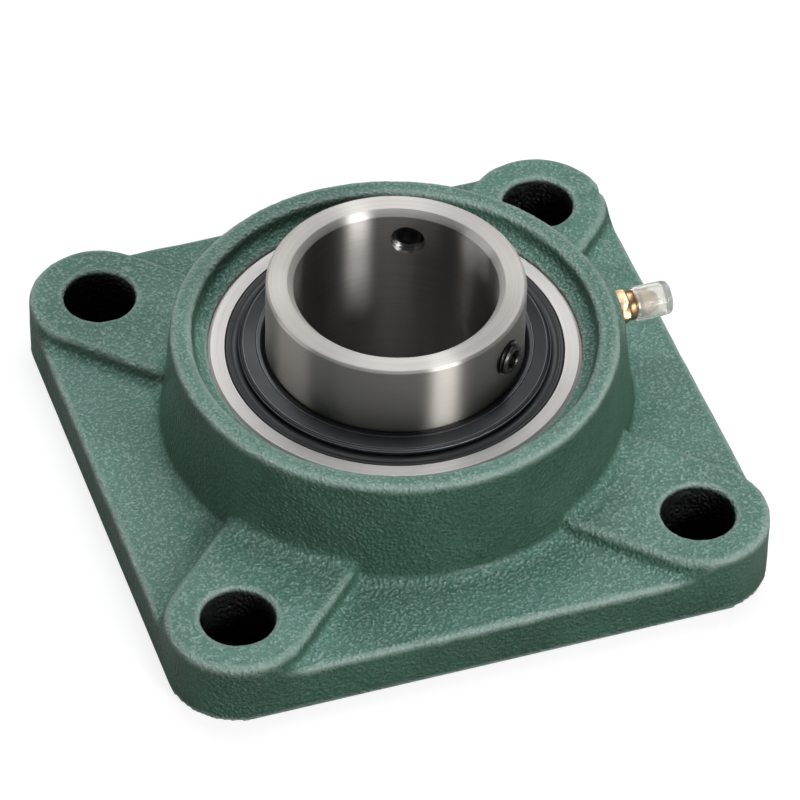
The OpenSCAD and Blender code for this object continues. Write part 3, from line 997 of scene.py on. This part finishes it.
@dataclass
class Sealing:
    """On each side a slinger on the inner ring and a rubber seal in the outer ring."""

    sleeve_r: float = 28.52
    rim_r: float = 34.4
    sheet: float = 0.8
    bend: float = 0.6
    crown: float = 13.0
    fall: float = 0.9
    sleeve: float = 1.3
    bead_radii: tuple[float, float] = (30.5, 33.5)
    lip_r: float = 28.56
    core_r: float = 31.4
    rubber_r: float = 37.4
    groove_r: tuple[float, ...] = (36.6, 36.45, 36.1, 35.95)
    dish_r: float = 34.9
    floor: float = 9.0
    top: float = 11.1
    # the slinger's beads and rim get painted highlight rings
    slinger_finish: BlackCoat = BlackCoat(
        "slinger_blue_black", colour="#0d1015", shade="#181b22", rough=0.3, metallic=0.3,
        highlight_rings=(30.44, 33.44, 34.3))
    rubber_finish: BlackCoat = BlackCoat(
        "seal_rubber_black", colour="#141517", shade="#1f2124", rough=0.48, lines=2200.0, depth=0.00002)
    shield_finish: PlainMetal = PlainMetal(
        "shield_sheet_steel", "#9b9b99", "#7d7c79", rough=0.34)

    def seat(self, side: Side) -> Matrix:
        """Gives the move from the bearing centre to one side."""
        return lift(SEAT_Z) @ Matrix.Diagonal((1, 1, side.value, 1))

    def slinger(self, side: Side) -> None:
        """Shows a slinger: sleeve, bend, coned flange with two pressed circles, turned rim.

        Args:
            side: Its side.
        """
        outer = self.bend + self.sheet
        bend_x, bend_z = self.sleeve_r + outer, self.crown - outer
        slope = self.fall / (self.rim_r - bend_x)

        def on_top(radius: float, raised: float = 0.0) -> Point:
            """Point of the flange's outer face at a radius, raised off it."""
            return (radius, self.crown - (radius - bend_x) * slope + raised)

        beads = []
        for radius in self.bead_radii:
            bumps = ((0.16, 0.0), (0.11, 0.08), (0.05, 0.1), (-0.01, 0.07), (-0.05, 0.0))
            beads += [on_top(radius + out, raised) for out, raised in bumps]
        foot, rim, edge = bend_z - self.sleeve, self.rim_r, self.crown - self.fall
        profile = [(self.sleeve_r, foot), (self.sleeve_r + self.sheet, foot)]
        profile += arc((bend_x, bend_z), self.bend, 180, 90, 8)
        profile += [(rim - 0.1, edge - self.sheet + 0.02), (rim, edge - self.sheet + 0.2),
                    (rim, edge - 0.25), (rim - 0.1, edge - 0.07), on_top(rim - 0.3)]
        profile += sorted(beads, key=lambda p: -p[0])
        profile += arc((bend_x, bend_z), outer, 90, 180, 10)
        ring = Shape.turned(profile, 192).placed(self.seat(side))
        show(ring.mesh("slinger"), f"{side.word}_slinger_plate", self.slinger_finish, "inner_ring",
             f"{side.word}_slinger", 40.0)

    def rubber(self, side: Side) -> None:
        """Shows a rubber seal: body on the shield, moulded bead and running lip.

        Args:
            side: Its side.
        """
        back = self.floor + 0.5
        lip, core, top, out, dish = self.lip_r, self.core_r, self.top, self.rubber_r, self.dish_r
        groove = list(zip(self.groove_r, (top, top - 0.14, top - 0.14, top)))
        profile = [
            (out, back), (out, top - 0.35), (out - 0.12, top - 0.1), (out - 0.4, top), *groove,
            (dish, top), (dish - 0.2, top - 0.2), (core - 0.3, top - 0.2), (core - 0.9, top - 0.8),
            (lip + 1.2, back + 0.6), (lip, back + 0.3), (lip, back), (lip + 1.2, back - 0.2),
            (core - 0.9, self.floor), (core - 0.02, self.floor), (core - 0.02, back),
        ]
        ring = Shape.turned(profile, 176).placed(self.seat(side))
        show(ring.mesh("seal_rubber"), f"{side.word}_seal_rubber", self.rubber_finish, "outer_ring",
             f"{side.word}_seal_lip", 50.0)

    def build(self) -> None:
        """Shows the slingers and seals and dresses the shields."""
        for side in Side:
            self.rubber(side)
            self.slinger(side)
            dress(self.shield_finish, f"{side.word}_shield")


@dataclass
class BallSet:
    """Balls, cage halves and rivets, whose solids stay and get their finish."""

    count: int = 9
    ball_finish: PlainMetal = PlainMetal(
        "polished_ball_steel", "#dcdcdd", "#cfcfd1", rough=0.05, depth=0.000001, edge=0.0)
    cage_finish: PlainMetal = PlainMetal(
        "pressed_cage_steel", "#a9a49c", "#8c877f", rough=0.3, patch=220.0)
    rivet_finish: PlainMetal = PlainMetal(
        "rivet_steel", "#8f8b86", "#77736f", rough=0.36, patch=400.0)

    def build(self) -> None:
        """Dresses the inside of the bearing."""
        dress(self.ball_finish, *(f"ball_{number}" for number in range(1, self.count + 1)))
        dress(self.cage_finish, "cage_front", "cage_rear")
        dress(self.rivet_finish, "cage_rivets")


@dataclass
class SetScrew:
    """A headless set screw: threaded body, hexagon socket and cup point."""

    letter: str
    angle: float
    radius: float = 3.665
    length: float = 6.0
    pitch: float = 1.0
    thread_depth: float = 0.45
    tip_r: float = 24.0
    cup: float = 1.06
    flats: float = 4.0
    socket: float = 3.0
    # edge share and colour give a painted highlight along the socket and ends
    finish: PlainMetal = PlainMetal(
        "black_oxide_screw", "#1d1e20", "#2e2c2a", rough=0.3, metallic=0.8, patch=700.0, edge=0.55,
        edge_highlight_colour="#6d6c6a")

    def build(self) -> None:
        """Shows the screw."""
        r, end, own = self.radius, self.length, f"set_screw_{self.letter}"
        profile = [(0.0, self.cup), (r / 2, 0.0), (r - 0.8, 0.0)] + ladder(r, 0.8, end - 0.4, 60)
        body = Shape.turned(profile + [(r - 0.4, end), (0.0, end)], 56, closed=False)
        body.thread(r, self.pitch, self.thread_depth, 0.4, end - 0.1)
        corner = self.flats / 2 / math.cos(math.radians(30))
        floor = end - self.socket
        hexagon = Shape.rod(corner, floor, end + 1, 6)
        drill = Shape.rod(0.02, floor - 0.6, floor + 0.01, 36, top=self.flats / 2)
        mouth = Shape.rod(corner - 0.25, end - 0.3, end + 0.05, 48, top=corner + 0.1)
        screw = combine(body, [(Cut.AWAY, hexagon), (Cut.AWAY, drill), (Cut.AWAY, mouth)])
        screw.placed(heading(self.angle) @ Matrix.Translation((self.tip_r, 0, SCREW_Z)) @ LAID)
        show(screw.mesh("set_screw"), "socket_" + own, self.finish, own, own, 30.0)


@dataclass
class GreaseNipple:
    """The grease nipple with its check ball, spring and dust cap."""

    x: float = 51.928
    z: float = 29.8
    thread_r: float = 2.675
    thread_l: float = 7.0
    flats: float = 7.0
    hex_t: float = 2.3
    collar_r: float = 3.45
    collar_t: float = 1.8
    neck_r: float = 2.3
    head_r: float = 3.1
    tip: float = 9.4
    bore_r: float = 0.9
    chamber_r: float = 1.55
    chamber: Point = (2.988, 8.6)
    cap_start: float = 4.15
    cap_l: float = 8.2
    cap_r: float = 3.75
    cap_bore: float = 3.2
    cap_end: float = 1.6
    ribs: int = 10
    coil_r: float = 1.3
    wire_r: float = 0.15
    coil_l: float = 3.313
    turns: int = 4
    pressed: float = 0.58
    # edge share and colour give a painted highlight along the nipple's edges
    brass: PlainMetal = PlainMetal(
        "yellow_plated_brass", "#a1845c", "#6a4a38", rough=0.32, patch=700.0, edge=0.35,
        edge_highlight_colour="#e9dcc0")
    steel: PlainMetal = PlainMetal(
        "spring_and_check_steel", "#b9b9b8", "#9b9a98", rough=0.15, patch=900.0)
    plastic: MilkyPlastic = MilkyPlastic()

    def seat(self) -> Matrix:
        """Gives the move from a piece drawn along Z to the housing's side."""
        return Matrix.Translation((self.x, 0, self.z)) @ LAID

    def body(self) -> None:
        """Shows the nipple: thread, hexagon, collar, neck and head, bored through."""
        thread, collar, head, neck = self.thread_r, self.collar_r, self.head_r, self.neck_r
        low, flat, tip, top = -self.thread_l, self.hex_t, self.tip, self.hex_t + self.collar_t
        profile = [(0.0, low)] + ladder(thread, low, 0.0, 70) + [
            (thread, flat / 2), (collar - 0.3, flat / 2), (collar - 0.3, flat), (collar - 0.06, flat + 0.1),
            (collar, flat + 0.3), (collar, top - 0.4), (collar - 0.1, top - 0.12), (collar - 0.35, top),
            (neck, top), (neck, top + 0.9), (head - 0.15, top + 1.45), (head, top + 1.65),
            (head, tip - 2.1), (head - 0.1, tip - 1.9), (self.bore_r + 1, tip), (0.0, tip),
        ]
        turned = Shape.turned(profile, 72, closed=False).thread(thread, 1.0, 0.35, low, 0.0)
        corner = self.flats / 2 / math.cos(math.radians(30))
        hexagon = Shape.rod(corner, 0.0, flat, 6).soften(0.1, 2)
        dome = Shape.turned([
            (0, 0), (corner - 0.05, 0), (corner + 0.05, 0.15), (corner + 0.05, flat - 0.4),
            (corner - 0.36, flat), (0, flat),
        ], 72, closed=False)
        whole = combine(combine(hexagon, [(Cut.COMMON, dome)]), [
            (Cut.ON, turned),
            (Cut.AWAY, Shape.rod(self.bore_r, low - 1, tip + 1, 36)),
            (Cut.AWAY, Shape.rod(self.chamber_r, *self.chamber, 36)),
        ])
        show(whole.placed(self.seat()).mesh("nipple"), "grease_nipple_body", self.brass, "housing",
             "nipple_body", 30.0)

    def cap(self) -> None:
        """Shows the dust cap: thin wall, grip ribs and closed end."""
        end, r = self.cap_l, self.cap_r
        profile = [(self.cap_bore, 0.0), (r - 0.12, 0.0), (r, 0.12), (r, end - 0.7)]
        profile += arc((r - 0.6, end - 0.6), 0.6, 0, 90, 5)
        profile += [(0.0, end)]
        profile = [(0.0, end - self.cap_end), (self.cap_bore, end - self.cap_end)] + profile
        cap = Shape.turned(profile, 80, closed=False)
        ribs = []
        for index in range(self.ribs):
            rib = Shape.rod(0.5, 0.0, end - 0.9, 20, top=0.42).soften(0.1, 2)
            turn = Matrix.Rotation(math.tau * index / self.ribs, 4, "Z")
            ribs.append((Cut.ON, rib.placed(turn @ Matrix.Translation((r - 0.25, 0, 0)))))
        bore = Shape.rod(self.cap_bore, -0.5, end - self.cap_end, 80)
        made = combine(combine(cap, ribs), [(Cut.AWAY, bore)])
        move = self.seat() @ lift(self.cap_start)
        show(made.placed(move).mesh("dust_cap"), "nipple_dust_cap", self.plastic, "dust_cap",
             "nipple_cap", 40.0)

    def spring(self) -> None:
        """Shows the check ball's spring."""
        start, steps = self.chamber[0] + self.wire_r + 0.02, self.turns * 30
        shape = Shape()
        bm = shape.bm
        wire = bmesh.ops.create_circle(bm, radius=self.wire_r, segments=12)["verts"]
        upright = Matrix.Rotation(math.radians(90), 3, "X")
        bmesh.ops.rotate(bm, verts=wire, cent=(0, 0, 0), matrix=upright)
        bmesh.ops.translate(bm, verts=wire, vec=(self.coil_r, 0, start))
        bmesh.ops.spin(
            bm, geom=bm.edges[:], cent=(0, 0, 0), axis=(0, 0, 1), dvec=(0, 0, self.coil_l / steps),
            angle=math.tau * self.turns, steps=steps, use_merge=False,
        )
        bmesh.ops.holes_fill(bm, edges=[e for e in bm.edges if e.is_boundary], sides=0)
        coil = show(shape.close().placed(self.seat()).mesh("check_spring"), "check_ball_spring",
                    self.steel, "housing", "nipple_spring", 50.0)
        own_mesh(coil)

    def build(self) -> None:
        """Shows the nipple, its cap and the check valve."""
        self.body()
        self.cap()
        self.spring()
        dress(self.steel, "nipple_ball")


# --- Studio ---


@dataclass(frozen=True)
class Lamp:
    """A soft box aimed at the part: angles in degrees, size and distance in metres, power in watts."""

    name: str
    azimuth: float
    rise: float
    size: tuple[float, float]
    power: float
    distance: float = 1.1
    aim: tuple[float, float, float] = (0.0, 0.0, 0.03)
    tint: tuple[float, float, float] = (1.0, 1.0, 1.0)

    def place(self) -> Vector:
        """Works out where the lamp hangs.

        Returns:
            Its place, in metres.
        """
        turn, rise = math.radians(self.azimuth), math.radians(self.rise)
        level = math.cos(rise)
        way = Vector((level * math.cos(turn), level * math.sin(turn), math.sin(rise)))
        return Vector(self.aim) + self.distance * way


@dataclass
class Studio:
    """Pale table, white surround, soft lamps and the camera."""

    azimuth: float = -19.514
    elevation: float = 44.157
    roll: float = 1.459
    distance: float = 1.2863
    focal_px: float = 5820.0
    picture_px: float = 800.0
    sensor: float = 36.0
    target: tuple[float, float, float] = (0.000137, -0.003934, 0.020)
    lamps: tuple[Lamp, ...] = (
        Lamp("back_overhead", 70.0, 66.0, (0.9, 0.8), 6.6, distance=1.32, tint=(0.96, 1.0, 1.03)),
        Lamp("back_middle", 75.0, 45.0, (0.8, 0.3), 2.75),
        Lamp("overhead", 70.0, 84.0, (0.4, 0.4), 1.85),
        Lamp("right_middle", 292.0, 28.0, (0.4, 0.3), 5.0),
        Lamp("right_low", 290.0, 9.0, (0.36, 0.2), 3.8),
        Lamp("left_low", 164.0, 12.0, (0.68, 0.25), 2.2),
        Lamp("front_fill", 238.0, 12.0, (1.2, 0.3), 0.8),
    )
    ambient: float = 0.07
    table_half: float = 15000.0
    table_gap: float = 0.2
    part_half: float = 0.062  # the table is dark under the part, within this of the axis
    bore_r: float = 0.028  # and pale again below the bore
    # tone of the painted shadow under the part
    dark: float = 0.012
    pale: float = 0.3
    glow: float = 0.8
    # painted shade: the table's gloss white is dimmed close to the part
    gloss: float = 0.05  # how white the table mirrors close by, and how far out it is all white
    gloss_reach: tuple[float, float] = (0.1, 0.45)

    def camera(self) -> None:
        """Sets the camera at the photograph's viewing angle."""
        a, e, r = (math.radians(v) for v in (self.azimuth, self.elevation, self.roll))
        back = Vector((math.sin(a) * math.cos(e), -math.cos(a) * math.cos(e), math.sin(e)))
        right = Vector((math.cos(a), math.sin(a), 0.0))
        up = back.cross(right)
        across = math.cos(r) * right + math.sin(r) * up
        upright = math.cos(r) * up - math.sin(r) * right
        data = bpy.data.cameras.new("camera")
        data.sensor_width = self.sensor
        data.lens = self.sensor * self.focal_px / self.picture_px
        data.clip_start, data.clip_end = 0.05, 60.0
        rig = stand("camera", data)
        matrix = Matrix((across, upright, back)).transposed().to_4x4()
        matrix.translation = Vector(self.target) + back * self.distance
        rig.matrix_world = matrix
        bpy.context.scene.camera = rig

    def table(self) -> None:
        """Lays the pale table: white to camera and gloss, shadow kept, near black under the part as a
        painted shadow, its gloss dimmed near the part as painted shade.
        """
        shape = Shape()
        bmesh.ops.create_grid(shape.bm, x_segments=1, y_segments=1, size=self.table_half)
        bmesh.ops.translate(shape.bm, vec=(0, 0, -self.table_gap), verts=shape.bm.verts)
        floor = stand("studio_table", shape.mesh("studio_table"))
        made = bpy.data.materials.new("studio_table_white")
        g = emptied(made)
        x, y, _ = g.parts(g.place())
        reach = g.math("MAXIMUM", g.math("ABSOLUTE", x), g.math("ABSOLUTE", y))
        # painted shadow: the table is near black under the part's footprint, pale beside it and below the
        # bore
        beside = g.math("GREATER_THAN", reach, self.part_half)
        lit = g.math("MAXIMUM", beside, g.math("LESS_THAN", g.length(x, y), self.bore_r))
        tone = g.blend(lit, (self.dark,) * 3 + (1.0,), (self.pale,) * 3 + (1.0,))
        plain = g.add("BsdfDiffuse", {"Color": tone})
        # painted shade: the gloss white fades towards the part
        shine = g.span(reach, *self.gloss_reach, self.gloss, 1.0)
        strength = g.times(self.seen(g, shine), g.times(beside, self.glow))
        glow = g.add("Emission", {"Color": WHITE, "Strength": strength})
        both = g.add("AddShader", {0: plain.outputs[0], 1: glow.outputs[0]})
        g.add("OutputMaterial", {0: both.outputs[0]})
        floor.data.materials.append(made)

    @staticmethod
    def seen(g: Graph, gloss: Socket) -> Socket:
        """Shows white to the camera, through clear plastic and in gloss, and lights nothing else.

        Args:
            g: The graph of the table or the surround.
            gloss: How white it is in gloss.

        Returns:
            The white's strength for the ray at hand.
        """
        path = g.add("LightPath").outputs
        clear = g.math("MAXIMUM", path["Is Camera Ray"], path["Is Transmission Ray"])
        return g.math("MAXIMUM", clear, g.times(path["Is Glossy Ray"], gloss))

    def surround(self) -> None:
        """Sets a surround that lights the part faintly, white to the camera and at the horizon."""
        world = bpy.context.scene.world = bpy.data.worlds.new("studio_surround")
        g = emptied(world)
        up = g.parts(g.place("Generated"))[2]
        horizon = g.span(g.math("ABSOLUTE", up), 0.03, 0.06, 1.0, 0.0)
        light = g.math("MAXIMUM", self.ambient, self.seen(g, horizon))
        sky = g.add("Background", {"Color": WHITE, "Strength": light})
        g.add("OutputWorld", {0: sky.outputs[0]})

    def light(self) -> None:
        """Hangs the lamps."""
        for lamp in self.lamps:
            data = bpy.data.lights.new(lamp.name, "AREA")
            data.shape = "RECTANGLE"
            data.size, data.size_y = lamp.size
            data.energy = lamp.power
            data.color = lamp.tint
            rig = stand(lamp.name, data)
            rig.location = lamp.place()
            rig.rotation_euler = (Vector(lamp.aim) - rig.location).to_track_quat("-Z", "Y").to_euler()

    def build(self) -> None:
        """Sets up camera, table, surround and lamps."""
        bpy.context.scene.view_settings.view_transform = "Standard"
        self.camera()
        self.table()
        self.surround()
        self.light()


def main() -> None:
    """Builds the bearing unit and its studio."""
    logging.basicConfig(level=logging.INFO, format="%(name)s: %(message)s")
    screws = [SetScrew(letter, angle) for letter, angle in SCREW_ANGLES.items()]
    for part in (Studio(), Casting(), Rings(), Sealing(), BallSet(), *screws, GreaseNipple()):
        part.build()


if __name__ == "__main__":
    main()
